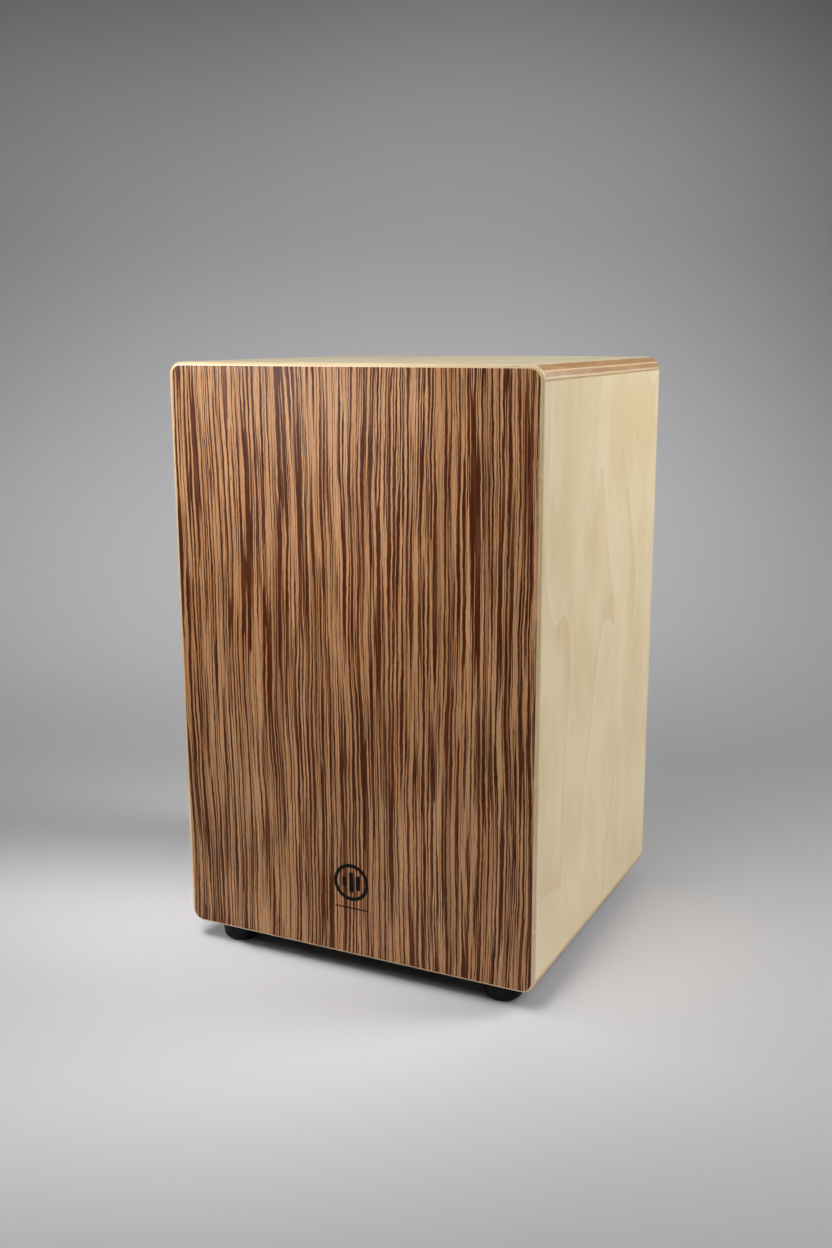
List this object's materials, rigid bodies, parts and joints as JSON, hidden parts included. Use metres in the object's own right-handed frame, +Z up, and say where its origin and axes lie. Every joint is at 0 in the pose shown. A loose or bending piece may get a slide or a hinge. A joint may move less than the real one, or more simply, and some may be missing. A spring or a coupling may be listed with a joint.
{
  "type": "cajon",
  "caption": "Upright plywood box drum with a striped veneer striking plate, rounded long edges, round rear sound port, rubber feet and a rocking snare bar worked by an inner lever.",
  "frame": {"origin": "on the floor, under the middle of the box", "axes": "+Z up; -Y out of the striking plate, so +Y out of the sound port; +X to the right of someone who faces the striking plate"},
  "size_m": [0.32, 0.29, 0.498],
  "materials": {
    "birch_ply": "clear satin lacquer over pale birch plywood, plies showing on the edges",
    "birch_back": "thin birch plywood, satin lacquer",
    "core_ply": "thin birch plywood, pale rim that slopes back",
    "striped_veneer": "dark-striped veneer with upright grain, satin lacquer",
    "spruce": "planed spruce, bare",
    "beech": "planed beech, oiled",
    "foot_rubber": "moulded black rubber, matt",
    "screw_steel": "zinc-plated screws",
    "bush_nylon": "natural nylon",
    "felt": "grey wool felt",
    "fibre": "hard fibre washer",
    "snare_steel": "bright steel plate and coiled wire"
  },
  "bodies": {
    "box": {"top_panel": "birch_ply", "bottom_panel": "birch_ply", "left_side_panel": "birch_ply", "right_side_panel": "birch_ply", "back_panel": "birch_back", "front_plate": "core_ply", "front_veneer": "striped_veneer", "front_batten_left": "spruce", "front_batten_right": "spruce", "front_batten_top": "spruce", "front_batten_bottom": "spruce", "foot_front_left": "foot_rubber", "foot_front_right": "foot_rubber", "foot_rear_left": "foot_rubber", "foot_rear_right": "foot_rubber", "foot_washers": "screw_steel", "foot_screws": "screw_steel", "bearing_block_left": "beech", "bearing_block_right": "beech", "block_screws": "screw_steel", "pivot_bush_left": "bush_nylon", "pivot_bush_right": "bush_nylon", "stop_felts": "felt"},
    "snare_unit": {"snare_bar": "beech", "pivot_pins": "screw_steel", "friction_washers": "fibre", "snare_plate_left": "snare_steel", "snare_plate_right": "snare_steel", "snare_wires_left": "snare_steel", "snare_wires_right": "snare_steel", "snare_screws": "screw_steel", "damper_felt": "felt", "lever_rod": "beech", "lever_knob": "beech"}
  },
  "joints": [
    {"name": "snare_release", "type": "hinge", "parent": "box", "child": "snare_unit", "pos_m": [0, -0.11146, 0.38], "axis": [-1, 0, 0], "range_deg": [0, 14]}
  ]
}
